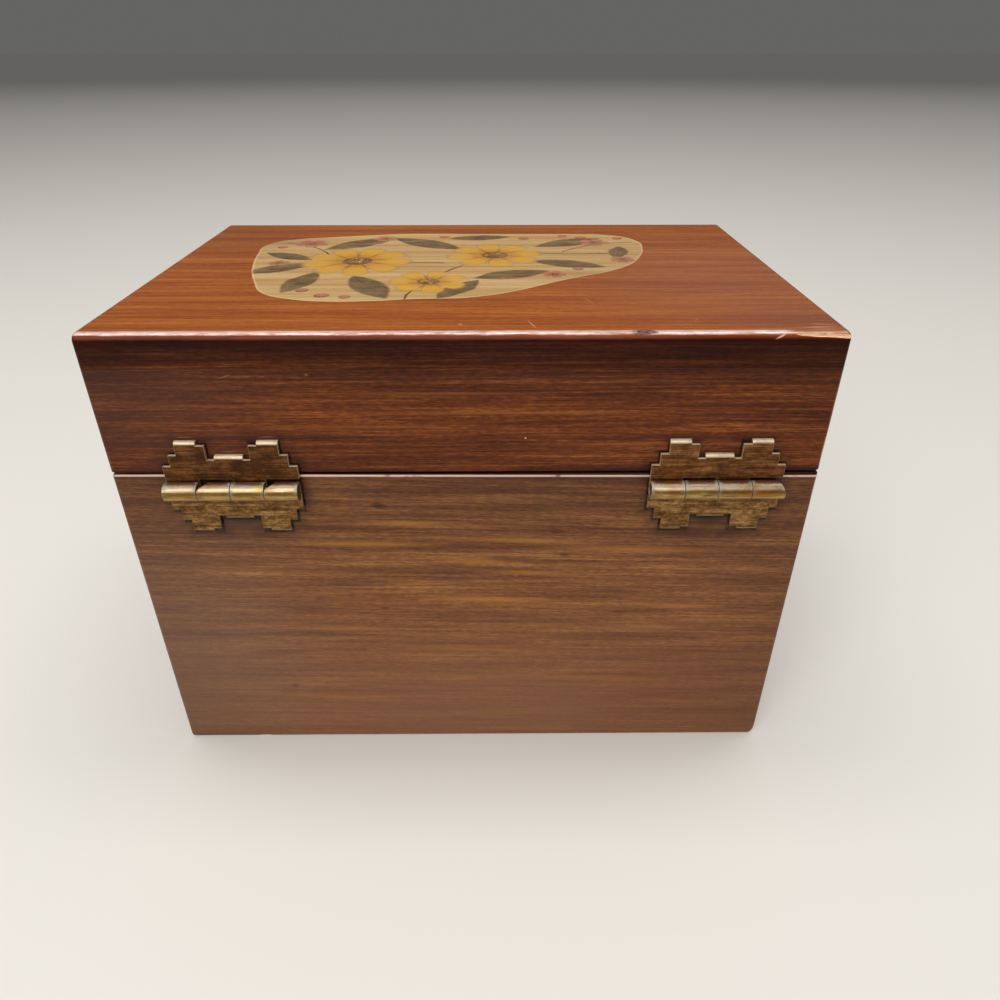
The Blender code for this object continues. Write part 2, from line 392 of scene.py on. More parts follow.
# where the hinge with the torn slots is, and the other one
pronged, farther = (
    sum(corner.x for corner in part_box(side + "_hinge_pin")) / 2 / mm for side in ("right", "left"))
backLidMarks = [
    onBack(45.6, 99.2, 1.9, 0.12, (186, 130, 94), 0.55, lean=18),
    onBack(30, 99.5, 0.5, 0.4, (150, 96, 62), 0.5),
    onBack(52, 96, 26, 7, (58, 34, 28), 0.3, 0),
    onBack(70, 92, 44, 20, (76, 56, 48), 0.3, 0),
    # a soft dark patch beside a lid leaf: painted shadow
    onBack(34.4, 80.8, 2.4, 3, (40, 22, 17), 0.6, 0),
    onBack(54.6, 104.6, 0.7, 0.4, (120, 80, 60), 0.7),
    onBack(-12.1, 85.9, 0.3, 0.3, (200, 160, 124), 0.9),
    onBack(4, 95.5, 32, 0.55, (150, 88, 42), 0.42, 0),
    onBack(-12, 91.4, 46, 0.5, (156, 92, 44), 0.46, 0),
    onBack(22, 88.5, 28, 0.6, (150, 86, 42), 0.4, 0),
    onBack(-30, 84.4, 22, 0.5, (144, 82, 40), 0.4, 0),
    mark((-72.75, 49.75, 82.5), (0.42, 0.42, 5.5), (206, 162, 124), 0.8),
    mark((-72.7, 49.7, 92), (0.6, 0.6, 9), (150, 82, 50), 0.5),
] + [
    onBack(*spot, (34, 17, 10), 0.45, 0)
    for spot in [(24, 103.2, 9, 1.6), (-8, 103.4, 14, 1.3), (-33, 103, 9, 2), (-52, 102.6, 8, 2.2)]
] + [
    # the prongs' slots in the wood, torn a little above one of the leaves
    onBack(pronged + x, z, 2.4, 0.13, (166, 122, 80), 0.8, 0.1)
    for x, z in [(8.3, 86.3), (-8.3, 86.3), (0, 83)]
]
# streaks of the body's back by colour: place, half sizes, lean and share
streaks = {
    (176, 116, 50): [
        (14.4, 65.6, 17, 0.9, 0, 0.5), (22, 60.2, 21, 1.2, -1, 0.52), (-1, 55.7, 14, 1.2, -3, 0.42),
        (-14, 60.9, 20, 1.1, -2, 0.5), (-14, 52.2, 13, 0.8, -2, 0.46), (-4.5, 44.8, 22, 1.3, -2, 0.58)],
    (162, 106, 56): [
        (-36, 58.6, 24, 1.4, -2, 0.5), (-48, 42.5, 13, 1.2, -1, 0.55), (-41, 36.4, 16, 1.1, -1, 0.45),
        (-53, 64.5, 13, 1, -3, 0.4), (30, 36.5, 18, 1.4, -2, 0.35), (4, 30, 26, 1.5, -2, 0.35),
        (-30, 20, 28, 1.6, -2, 0.3), (36, 14, 24, 1.5, -3, 0.3)],
    (82, 54, 42): [
        (4.3, 50.6, 8, 1.6, -2, 0.45), (-9, 56.4, 9, 1.1, -2, 0.55), (26, 49.5, 16, 2.2, -1, 0.4),
        (-33, 47, 10, 1.2, -9, 0.45), (-54, 53.5, 12, 2.4, 0, 0.3), (38, 42, 14, 1.6, -2, 0.35),
        (-12, 38.5, 22, 2.2, -2, 0.3), (44, 29, 10, 1.4, 0, 0.25)],
    (66, 40, 32): [
        (-21.3, 57.1, 1.8, 0.9, 0, 0.75), (19.5, 42.3, 1.5, 0.7, 0, 0.7), (-34.4, 40.8, 2.8, 0.6, -8, 0.55),
        (-52.9, 32.7, 2.2, 0.6, 0, 0.7), (43.5, 18, 1.8, 0.9, 0, 0.5)],
}
backBodyMarks = [
    onBack(18.6, 70, 2.4, 1.1, (56, 36, 26), 0.8, lean=-12),
    onBack(36, 72.5, 5, 4.5, (66, 46, 38), 0.45, 0),
    onBack(-19, 63.4, 2.6, 1.2, (78, 40, 30), 0.6),
    onBack(0, 4, 110, 44, (138, 100, 78), 0.4, 0),
    onBack(66, 30, 46, 52, (122, 98, 86), 0.34, 0),
    mark((-72.75, 49.75, 73.5), (0.42, 0.42, 5), (180, 148, 118), 0.7),
    onBack(-54, 16, 44, 30, (92, 46, 30), 0.26, 0),
] + [
    onBack(x, z, long, wide, tone, share, 0, lean)
    for tone, spots in streaks.items()
    for x, z, long, wide, lean, share in spots
] + [
    # grime and painted shadow under the leaves and in their notches
    onBack(x, z, long, wide, tone, share, 0)
    for x, tone, foot in [(pronged, (70, 52, 42), 0), (farther, (60, 36, 26), 0.8)]
    for z, long, wide, share in [(63.5, 15, 6.5, 0.42), (67.0 - foot, 6.5, 2.6 + foot, 0.75)]
]
topMarks = [
    # the first and third marks, greyish violet, are a painted sheen over the top's half at negative x,
    # strongest towards the back edge
    onTop(-58, 12, 56, 62, (138, 100, 92), 0.26, 0),
    onTop(62, -34, 30, 30, (96, 52, 30), 0.28, 0),
    onTop(-66, 42, 24, 18, (118, 76, 68), 0.34, 0),
    onTop(-13.2, 44.7, 0.16, 3.5, (224, 176, 146), 0.7, turn=17),
    onTop(0.6, 44.6, 0.7, 0.9, (206, 142, 112), 0.5),
    onTop(24.5, 46.4, 1.6, 0.2, (206, 140, 100), 0.5, turn=8),
    onTop(-25.9, 29.7, 0.18, 3.6, (196, 130, 92), 0.45, turn=18),
    onTop(-45.4, 42, 0.2, 1.6, (200, 140, 104), 0.4, turn=-36),
    onTop(-67.5, 46.6, 5, 0.26, (222, 180, 150), 0.8, turn=2),
    onTop(-69, 44.9, 3.4, 0.24, (214, 170, 140), 0.7, turn=-3),
    onTop(-68.5, 47.9, 4.6, 0.25, (214, 160, 116), 0.7, turn=1),
    mark((-59.6, 49.6, 106.75), (1.5, 1, 0.24), (214, 168, 140), 0.9, turn=(0, 24, 0)),
]
# raw wood in the nick of the top's back edge
nick = dict(at=(-34.1, 49.1, 107.35), size=(2.6, 1.4, 0.66), tone=(122, 90, 84), deep=(78, 48, 40))


# The unstained panel on the lid and its printed flowers, leaves and berries

panel = dict(
    middle=(8, -6),
    outline=[(51.6, 5), (45.1, 22), (39.9, 26.6), (31.3, 29.3), (21.2, 29.4), (11.4, 27.8), (3.4, 27.6),
             (-2.3, 26.1), (-11.1, 21.7), (-20.4, 14.1), (-27.1, 9.5), (-37, 2.2), (-42.8, -8.6),
             (-45.6, -21.5), (-44.4, -28.4), (-40.2, -33.2), (-33, -35.2), (-23, -35.8), (6.5, -36.1),
             (17.4, -36.8), (43.4, -30.9), (52.9, -26.5), (55.1, -15.5)],
    steps=12, curvePoints=29, reach=64, wobble=0.35, soft=0.28, above=(106.9, 107.3),
    bleached=(239, 237, 234), rim=0.45, rimTone=(228, 202, 158), cutTone=(120, 62, 30),
    stems=[((30, -2), (24, 0.45), 12, 9), ((-10, -14), (26, 0.45), -14, -12), ((8, 10), (20, 0.4), 65, 8),
           ((-32, -22), (12, 0.35), 30, 9), ((40, -18), (12, 0.35), -50, 10)],
    leaves=[((46, 2), (9, 3.6), 35), ((22, 18), (11, 4.2), 118), ((38, 14), (9.5, 3.6), 75),
            ((12, -24), (12, 4.4), -35), ((-10, 8), (10, 4), 20), ((-24, -2), (10, 3.8), -20),
            ((-26, -25), (11, 4.2), 28), ((30, -24), (11.5, 4.2), -140), ((-2, -31), (9, 3.4), 8),
            ((46, -10), (8, 3), -30), ((2, 20), (9, 3.2), 60), ((-38, -14), (7, 2.8), 80)],
    daisies=[((28, -5), 14, 9, 0.3), ((-6, -11), 12.6, 8, 0.9), ((9, 14), 9.4, 7, 1.7)],
    blossoms=[((-33, -25), 4.2, 0.2), ((-38, -6), 3.4, 0.9), ((43, -24), 4.4, 0.5), ((24, -30), 3.4, 1.4),
               ((47, -3), 2.8, 2), ((-20, 8), 3, 0.1)],
    berries=[((-30, -31), 1.7), ((-25, -33), 1.5), ((-40, -30), 1.6), ((36, 21), 1.6), ((31, 25), 1.8),
             ((26, 26), 1.4), ((-14, -30), 1.7), ((50, -20), 1.5), ((-26, 3), 1.4), ((8, -32), 1.5)],
    gold=(208, 152, 36), goldDeep=(150, 84, 26), heart=(84, 38, 24), leaf=(86, 70, 48),
    leafDeep=(44, 33, 25), pink=(172, 98, 82), pinkDeep=(120, 56, 48),
)


# radius of the panel's edge for each direction from its middle, for a curve node
def edgeOfPanel():
    cx, cy = panel["middle"]
    points = [Vector((x - cx, y - cy)) for x, y in panel["outline"]]
    count, fine = len(points), []
    for i in range(count):
        a, b, c, d = (points[(i + k - 1) % count] for k in range(4))
        for step in range(panel["steps"]):
            t = step / panel["steps"]
            fine.append(0.5 * (2 * b + (c - a) * t + (2 * a - 5 * b + 4 * c - d) * t * t
                               + (3 * b - a - 3 * c + d) * t * t * t))
    total = sum((fine[i] - fine[i - 1]).length for i in range(len(fine)))
    walked, chosen = 0.0, []
    for i in range(len(fine)):
        if walked >= total * len(chosen) / panel["curvePoints"]:
            chosen.append(fine[i])
        walked += (fine[i] - fine[i - 1]).length
    turns = sorted((atan2(p.x, p.y) / (2 * pi) + 0.5, p.length / panel["reach"]) for p in chosen)
    join = (turns[0][1] + turns[-1][1]) / 2
    return [(0.0, join)] + turns + [(1.0, join)]


def flat(look, where, at, size, turn=0.0):
    seen = look.local(where, (*at, topFace), (*size, 1.0), (0, 0, radians(turn)))
    return look.split(seen)[:2]


def addPanel(look, plain, stained):
    cx, cy = panel["middle"]
    x, y, z = look.split(plain)
    right, away = x - cx, y - cy
    turn = away.angleTo(right) / (2 * pi) + 0.5
    radius = look.length(look.shifted(plain, -cx, -cy, z * -1.0))
    wobble = (look.noise(plain, 5, 5, 2) - 0.5) * panel["wobble"]
    inside = look.curve(turn, edgeOfPanel()) * panel["reach"] - radius + wobble
    mask = look.rise(inside, 0.0, panel["soft"]) * look.rise(z, *panel["above"])
    straw, _ = grain(look, plain, bareWood)
    wood = look.tint(look.ramp(straw, bareWood["tones"]), panel["bleached"], 1.0, "MULTIPLY")
    drift = (look.noise(plain, 3.5, 3.5, 2) - 0.5) * 1.1
    hand = look.shifted(plain, drift, drift * -0.8, 0.0)
    ink = panel["leaf"]
    shown = 0.0
    for at, (long, thick), angle, bow in panel["stems"]:
        u, v = flat(look, hand, at, (long, thick), angle)
        drawn = look.rise(1 - abs(v - u * u * bow), 0.0, 0.5) * look.rise(1 - abs(u), 0.0, 0.05)
        ink, shown = look.tint(ink, panel["leafDeep"], drawn), drawn.most(shown)
    for at, size, angle in panel["leaves"]:
        u, v = flat(look, hand, at, size, angle)
        drawn = look.rise(1 - u * u - abs(v), -0.04, 0.2)
        veins = ((u * 9 + abs(v) * 3.2).wave() * 0.5 + 0.5) * 0.45
        rib = look.fall(abs(v), 0.03, 0.12)
        shade = (veins + rib * 0.5 + look.rise(v, -0.2, 0.5) * 0.5).least(1.0)
        leaf = look.tint(panel["leaf"], panel["leafDeep"], shade)
        ink, shown = look.tint(ink, leaf, drawn), drawn.most(shown)
    for at, size in panel["berries"]:
        u, v = flat(look, hand, at, (size, size))
        radial = look.length(look.node("CombineXYZ", {}, {0: u, 1: v}))
        drawn = look.fall(radial, 0.86, 1.0)
        berry = look.tint(panel["pink"], panel["pinkDeep"], look.rise(radial + v * 0.4, 0.2, 1.1))
        ink, shown = look.tint(ink, berry, drawn), drawn.most(shown)
    for at, size, twist in panel["blossoms"]:
        ink, shown = addFlower(look, hand, ink, shown, at, size, 5, twist, "pink", 0.24)
    for at, size, petals, twist in panel["daisies"]:
        ink, shown = addFlower(look, hand, ink, shown, at, size, petals, twist, "gold", 0.30)
    faded = shown * (look.noise(plain, 6, 2.5, 4, 0.65) * 1.1 + 0.32).least(1.0)
    wood = look.tint(wood, look.tint(wood, ink, 0.86), faded)
    rim = look.fall(abs(inside - panel["rim"] * 0.8), 0.0, panel["rim"])
    wood = look.tint(wood, panel["rimTone"], rim * 0.45)
    wood = look.tint(wood, panel["cutTone"], look.fall(inside, 0.02, 0.30) * 0.6)
    return look.tint(stained, wood, mask)


def addFlower(look, where, ink, shown, at, size, petals, twist, tone, heart):
    u, v = flat(look, where, at, (size, size))
    radial = look.length(look.node("CombineXYZ", {}, {0: u, 1: v}))
    petal = abs((u.angleTo(v) * (petals / 2) + twist).wave())
    edge = look.curve(petal, [(0, 0.50), (0.25, 0.78), (0.6, 0.95), (1, 1.0)])
    drawn = look.rise(edge - radial, -0.03, 0.13)
    fold = look.fall(petal, 0.05, 0.45) * 0.8 + look.fall(radial, heart, 0.62) * 0.5
    bloom = look.tint(panel[tone], panel[tone + "Deep"], fold.least(1.0))
    bloom = look.tint(bloom, panel["heart"], look.fall(radial, heart * 0.8, heart))
    dots = look.noise(where, 0.9, 0.9, 1) * look.fall(radial, heart * 0.6, heart)
    bloom = look.tint(bloom, panel[tone], look.rise(dots, 0.52, 0.6) * 0.7)
    return look.tint(ink, bloom, drawn), drawn.most(shown)


# grime and painted shadow on a back board round the stepped outline of its two leaves, reaching lower under
# the body's leaves, where the shadow falls
def grimeAndShadowRoundLeaves(look, plain, onLid):
    x, y, z = look.split(plain)
    half, (crownEnd, notchEnd, _, _) = hinge["length"] / 2, leafStations()
    shoulder = half - hinge["step"]
    grimeAndShadow = 0.0
    for side in ("left", "right"):
        low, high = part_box(side + "_hinge_pin")
        across = abs(x - (low.x + high.x) / 2 / mm)
        pinHeight = (low.z + high.z) / 2 / mm
        out = z - pinHeight if onLid else pinHeight - wear["shadowDrop"] - z
        beyond = (across - half).most(out - hinge["base"])
        beyond = beyond.least((across - shoulder).most(out - hinge["notch"] - hinge["bend"]))
        for end, height in ((shoulder, hinge["shoulder"]), (crownEnd, hinge["crown"] + hinge["bend"])):
            beyond = beyond.least((across - end).most(out - height).most(notchEnd - across))
        tight = look.fall(beyond, 0.1, 0.6) * (look.noise(plain, 3, 3, 2) * 1.3 + 0.1).least(0.88)
        grimeAndShadow = tight.most(look.fall(beyond, 0.0, 3.0) * 0.35).most(grimeAndShadow)
    return grimeAndShadow


# Stained wood outside, bare wood inside, with the stain run a little way over the rims

# where wear and dirt come in or end, in millimetres, and their colours
wear = dict(
    calm=(8, 62), pores=(40, 20, 12), poresOnTop=(96, 40, 20),
    edgeStarts=(105.4, 105.9), edgeEnds=(106.8, 107.3), edgeShades=(105.8, 106.85),
    edgeTones=[(0, (34, 13, 6)), (0.35, (54, 19, 6)), (0.7, (92, 39, 16)), (1, (128, 64, 36))],
    # the colour of the grime and painted shadow round the hinge leaves, and how much lower that outline lies
    # under the body's leaves
    faceStarts=(106.7, 107.35), grimeAndShadow=(26, 16, 13), shadowDrop=1,
    # the pale crest along the back edge: a painted highlight, partly rubbed wear
    crest=(107, 107.2), crestBack=(47.9, 48.6), crestEnd=(-63, -60), crestRubAndHighlightTone=(222, 193, 188),
    rim=77.25, rimLean=0.0045, rimWide=(0.08, 0.36), rimOuter=(7.6, 7.9), rimTone=(224, 190, 170),
    # painted shade in the seam gap along the body's rim: its heights, how far out, and its colour
    gapShade=(77.38, 77.5), gapShadeOuter=(6.8, 7.2), gapShadeTone=(40, 18, 10),
    inside=(0.4, 1.2), insideBelow=(101, 102), runStarts=(107.02, 107.2), runEnds=(107.45, 107.5),
)


def stainedLook(name, wood, turn=0, shift=(0, 0, 0), marks=(), tilt=0, top=False):
    material, look = newLook(name)
    plain = look.place()
    x, y, z = look.split(plain)
    where = look.place(turn, shift, tilt)
    tone, bent = grain(look, where, wood)
    # the figure is calmer towards the foot
    tone = (tone - 0.5) * (look.rise(z, *wear["calm"]) * (1 - wood["calm"]) + wood["calm"]) + 0.5
    # darkened by the toning, and by painted shade in the seam gap
    dark = look.tint(toningAndSeamShade["tone"], (255, 255, 255), toneAndSeamShadeByHeight(look, plain))
    stained = look.tint(look.ramp(tone, wood["tones"]), dark, 1.0, "MULTIPLY")
    pores = look.rise(look.noise(bent, 3.2, 0.13, 1), 0.60, 0.70)
    stained = look.tint(stained, wear["pores"], pores * 0.35)
    edge = look.rise(z, *wear["edgeStarts"]) * look.fall(z, *wear["edgeEnds"])
    patchy = look.noise(plain, 6, 0.8, 3, 0.6) * 0.5 + look.noise(plain, 22, 3, 2) * 0.5
    rubbed = look.ramp(look.rise(z, *wear["edgeShades"]) * 0.7 + patchy * 0.9 - 0.3, wear["edgeTones"])
    stained = look.tint(stained, rubbed, edge * 0.9)
    lift = tone * 0.6 - pores
    if top:
        topTone, _ = grain(look, where, topWood)
        face = look.tint(look.ramp(topTone, topWood["tones"]), wear["poresOnTop"], pores * 0.30)
        stained = look.tint(stained, face, look.rise(z, *wear["faceStarts"]))
        stained = addPanel(look, plain, stained)
    stained = addMarks(look, plain, stained, marks)
    if marks and not top:
        # grime and painted shadow round the hinge leaves
        stained = look.tint(stained, wear["grimeAndShadow"], grimeAndShadowRoundLeaves(look, plain, wood is lidWood))
    # the back edge is painted pale along its crest, in short strokes, as far as the chipped corner: a painted
    # highlight, partly rubbed wear
    ragged = look.rise(look.noise(plain, 2.6, 0.5, 3, 0.6), 0.28, 0.62)
    rubAndHighlight = ragged * 0.55 + look.rise(look.noise(plain, 15, 3, 2), 0.3, 0.6) * 0.3 + 0.1
    wavy = z + (look.noise(plain, 5, 3, 3, 0.6) - 0.5) * 0.4
    crest = look.rise(wavy, *wear["crest"]) * look.rise(y, *wear["crestBack"])
    crest = crest * look.rise(x, *wear["crestEnd"])
    stained = look.tint(stained, wear["crestRubAndHighlightTone"], crest * rubAndHighlight)
    # the body's rim is worn pale along its outer edge, under a line of painted shade in the seam gap
    outer = (abs(x) - wallX / mm).most(abs(y) - wallY / mm)
    seam = 0.0
    if wood is bodyWood:
        height = z - x * wear["rimLean"]
        seam = look.fall(abs(height - wear["rim"]), *wear["rimWide"]) * look.rise(outer, *wear["rimOuter"])
        seam = seam * look.rise(look.noise(plain, 5, 5, 3, 0.6), 0.2, 0.42)
        stained = look.tint(stained, wear["rimTone"], seam * 0.9)
        # painted shade in the seam gap
        gapShade = look.rise(height, *wear["gapShade"]) * look.rise(outer, *wear["gapShadeOuter"])
        stained = look.tint(stained, wear["gapShadeTone"], gapShade * 0.9)
    # bare wood inside
    bareTone, _ = grain(look, look.place(turn, (shift[1], shift[0], shift[2])), bareWood)
    run = (look.noise(plain, 6, 6, 3) - 0.5) * 1.6
    inside = look.fall(outer + run, *wear["inside"]) * look.fall(z, *wear["insideBelow"])
    base = look.tint(stained, look.ramp(bareTone, bareWood["tones"]), inside)
    gloss = look.noise(plain, 12, 6, 3) * 0.10 + lacquer["roughness"] - 0.05
    roughness = gloss + inside.most(seam) * lacquer["wornRoughness"]
    normal = look.node("Bump", {}, {
        "Height": look.noise(plain, 4.5, 2.4, 2, 0.45, 2.4), "Strength": 1.0,
        "Distance": lacquer["orangePeel"] * mm, "Normal": look.bump(lift, lacquer["grainDepth"])})
    # the lacquer ran together along the top's edges
    thick = look.rise(wavy, *wear["runStarts"]) * look.fall(z, *wear["runEnds"]) * (ragged * 0.7 + 0.3)
    if top:
        rough = look.noise(plain, 0.9, 0.6, 2)
        beyond = look.length(look.local(plain, nick["at"], nick["size"])) + (rough - 0.5) * 0.9
        dent = look.fall(beyond, 0.6, 1.0)
        torn = look.tint(nick["deep"], nick["tone"], look.rise(rough, 0.4, 0.65))
        base, thick = look.tint(base, torn, dent * 0.92), thick * (1 - dent)
    look.finish(base, roughness, **{
        "Normal": normal, "Specular IOR Level": (topWood if top else wood)["shine"], "Coat Weight": thick,
        "Coat Roughness": lacquer["coatRoughness"], "Coat IOR": lacquer["coatGloss"]})
    return material


def bareLook(name, turn=0, shift=(0, 0, 0)):
    material, look = newLook(name)
    tone, bent = grain(look, look.place(turn, shift), bareWood)
    pores = look.rise(look.noise(bent, 3.0, 0.14, 1), 0.60, 0.72)
    base = look.tint(look.ramp(tone, bareWood["tones"]), (122, 84, 52), pores * 0.4)
    look.finish(base, bareWood["roughness"], Normal=look.bump(tone - pores, bareWood["depth"]))
    return material


# splintered raw wood where a chip came off
rawWood = dict(
    roughness=0.7, depth=0.10,
    tones=[(0.3, (176, 122, 92)), (0.5, (222, 180, 142)), (0.75, (246, 218, 178))],
)


def rawLook():
    material, look = newLook("rawWood")
    plain = look.place()
    tone = look.noise(plain, 2.4, 0.16, 3, 0.7)
    base = look.ramp(tone, rawWood["tones"])
    look.finish(base, rawWood["roughness"], Normal=look.bump(tone, rawWood["depth"]))
    return material


# The boards

board = dict(
    lip=3,                        # thickness left outside the side boards' ends
    bottom=4, seat=4,           # the bottom board's thickness, and how far it lies under the walls
    cornerRadius=0.9, cornerSteps=6,
    topEdge=1.7, topSteps=8,        # along the front and the back; the ends are eased like the corners
    seamEase=0.4, footEase=0.6, easeSteps=3,
    hairline=0.06,                  # the tiny edge that shows where two boards meet
    wear={("back", "left"): (2.4, 8, 4.2), ("back", "right"): (1.6, 6, 2),    # at the lower corners
          ("front", "left"): (1.4, 5, 1.8), ("front", "right"): (2, 6, 2.6)},
)
# each board's grain: how it is turned and moved, so that no two are alike, then its marks and its slope
grains = {
    ("body", "back"): (0, (0, 0, 0), backBodyMarks, 1.3), ("body", "front"): (0, (210, 35, 90)),
    ("body", "right"): (90, (90, 15, -60)), ("body", "left"): (90, (-140, 55, 130)),
    ("lid", "back"): (0, (0, 0, 0), backLidMarks), ("lid", "front"): (0, (170, -45, 60)),
    ("lid", "right"): (90, (60, 25, -30)), ("lid", "left"): (90, (-95, 75, 20)),
    ("lid", "top"): (0, (35, 12, 4), topMarks), ("body", "bottom"): (0, (40, 10, 0)),
}
# the lumps that knock chips out: place, half size, turn, roughness and seed; the first leaves no raw wood
chips = [
    ("lid", "top", (-34.1, 49.2, 107.75), (2.3, 0.85, 0.62), 3, 0.1, 4),
    ("lid", "top", (-70.4, 50.1, 106.95), (9.5, 0.8, 0.55), -3.5, 0.1, 9),
    ("lid", "top", (-65.6, 49.75, 107.05), (4.9, 0.5, 0.32), -3, 0.06, 5),
    ("body", "back", (53.8, 50.1, 0), (2.1, 0.6, 0.5), 0, 0.06, 2),
]
lip = board["lip"] * mm


def isCorner(edge):
    a, b = (v.co for v in edge.verts)
    upright = near(a.x, b.x) and near(a.y, b.y)
    return upright and near(abs(a.x), halfWidth) and near(abs(a.y), halfDepth)


# an edge of the outer skin at one height, round the corners too
def isRim(edge, height):
    a, b = (v.co for v in edge.verts)
    at = (a + b) / 2
    skin = max(abs(at.x) - halfWidth, abs(at.y) - halfDepth) > -board["cornerRadius"] * mm / 2
    return near(a.z, height) and near(b.z, height) and skin


def isLongTopEdge(edge):
    a, b = (v.co for v in edge.verts)
    return near(a.z, topHigh.z) and near(b.z, topHigh.z) and near(a.y, b.y) and near(abs(a.y), halfDepth)


# round an end of the top board, but for its foot
def isEndOutline(edge):
    a, b = (v.co for v in edge.verts)
    foot = near(a.z, topLow.z) and near(b.z, topLow.z)
    return near(a.x, b.x) and near(abs(a.x), halfWidth) and not foot


def roundOver(obj, test, radius, steps):
    openUp(obj)
    if pick("EDGE", test):
        shape.bevel(offset=radius * mm, segments=steps, profile=0.5, affect="EDGES")
    close()


def easeRims(obj, rims):
    roundOver(obj, isCorner, board["cornerRadius"], board["cornerSteps"])
    for height, radius in rims:
        roundOver(obj, lambda edge: isRim(edge, height), radius, board["easeSteps"])


# front or back board: a block whose outer half is drawn out at both ends, over the side boards
def longBoard(name, side, low, high, rims):
    ys = sorted((side * wallY, side * halfDepth))
    lipY = side * (halfDepth - lip)
    made = block(name, (-wallX, ys[0], low), (wallX, ys[1], high))
    openUp(made)
    pickAll()
    shape.bisect(plane_co=(0, lipY, 0), plane_no=(0, 1, 0))
    for end in (-1, 1):
        pick("FACE", lambda f: f.normal.x * end > 0.9 and side * (middle(f).y - lipY) > 0)
        reach = end * (halfWidth - wallX)
        shape.extrude_region_move(TRANSFORM_OT_translate={"value": (reach, 0, 0)})
    close()
    easeRims(made, rims)
    return made


def sideBoard(name, side, low, high, rims):
    xs = sorted((side * wallX, side * halfWidth))
    end = halfDepth - lip
    made = block(name, (xs[0], -end, low), (xs[1], end, high))
    easeRims(made, rims)
    return made


def topBoard():
    made = block("lidTopBoard", topLow, topHigh)
    roundOver(made, isLongTopEdge, board["topEdge"], board["topSteps"])
    roundOver(made, isEndOutline, board["cornerRadius"], board["cornerSteps"])
    return made


# a lower corner worn round, by cutting both boards there with three leaning planes
def wearCorner(boards, away, legs):
    corner = Vector((away[0] * halfWidth, away[1] * halfDepth, 0))
    for turn in (22.5, 45, 67.5):
        c, s = cos(radians(turn)), sin(radians(turn))
        k = c + s - 1
        lean = Vector((away[0] * c / legs[0], away[1] * k / legs[1], away[2] * s / legs[2])) / mm
        spot = corner - lean * k / lean.length_squared
        for obj in boards:
            openUp(obj)
            pickAll()
            shape.bisect(plane_co=spot, plane_no=lean.normalized(), use_fill=True, clear_outer=True)
            close()


# a chip knocked out of an edge with a rough lump
def knockChip(obj, at, size, turn, rough, seed, bared):
    letGo()
    shape.primitive_ico_sphere_add(
        subdivisions=3, radius=1, location=Vector(at) * mm, rotation=(0, radians(turn), 0))
    lump = bpy.context.object
    lump.scale = Vector(size) * mm
    bpy.ops.object.transform_apply()
    openUp(lump)
    pickAll()
    bpy.ops.transform.vertex_random(offset=rough * mm, uniform=1.0, seed=seed)
    close()
    lump.data.materials.append(bared)
    cutAway(obj, lump, material_mode="TRANSFER")


# the rebate round the foot of a wall that the bottom board lies in
def seatBottom(obj, inX, inY):
    cutAway(obj, block("bottomSeat", (-inX, -inY, -2 * mm), (inX, inY, board["bottom"] * mm)))


def makeBoards():
    raw = rawLook()
    bodyRims = [(bodyLow.z, board["footEase"]), (bodyHigh.z, board["seamEase"])]
    lidRims = [(lidLow.z, board["seamEase"])]
    made = {}
    for body, low, high, rims in (("body", 0, bodyHigh.z, bodyRims), ("lid", lidLow.z, topLow.z, lidRims)):
        for side, make, sign in (("back", longBoard, 1), ("front", longBoard, -1), ("right", sideBoard, 1),
                                 ("left", sideBoard, -1)):
            made[body, side] = make(f"{body}{side.capitalize()}Board", sign, low, high, rims)
    made["lid", "top"] = topBoard()
    inX, inY = wallX + board["seat"] * mm, wallY + board["seat"] * mm
    for side in ("back", "front", "right", "left"):
        seatBottom(made["body", side], inX, inY)
    made["body", "bottom"] = block("bodyBottomBoard", (-inX, -inY, 0), (inX, inY, board["bottom"] * mm))
    for (long, short), legs in board["wear"].items():
        away = (1 if short == "right" else -1, 1 if long == "back" else -1, -1)
        wearCorner([made["body", long], made["body", short]], away, legs)
    for obj in made.values():
        easeEdges(obj, board["hairline"], 2)
    for (body, side), cut in grains.items():
        if side == "bottom":
            look = bareLook("bottomWood", *cut)
        else:
            wood = bodyWood if body == "body" else lidWood
            look = stainedLook(f"{body}{side.capitalize()}Stain", wood, *cut, top=side == "top")
        paintWith(made[body, side], look)
    for i, (body, side, *lump) in enumerate(chips):
        knockChip(made[body, side], *lump, raw if i else made["lid", "top"].data.materials[0])
    for (body, side), obj in made.items():
        smooth(obj)
        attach(obj, "box" if body == "body" else "lid")
        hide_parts(f"{body}_{side}_board")
        "bare_wood" if side == "bottom" else "stained_top_wood" if side == "top" else "stained_wood"
    print("boards made:", len(made))


# The hinges: each leaf is stamped from sheet, curled round the pin and pronged into the wood

hinge = dict(
    length=27.4, sheet=0.75, barrel=1.95,
    base=5.1, shoulder=7.65, crown=9.8, notch=6.6, step=1.65,
    notchShare=0.423, crownProngShare=0.717, notchProngShare=0.66,
    slot=2.2, knuckleGap=0.14, curl=296, curlSteps=44,
    bend=0.5, bendSteps=6, prong=5.2, leafGap=0.3,
    edge=0.11, edgeSteps=2, grainDepth=0.035,
)
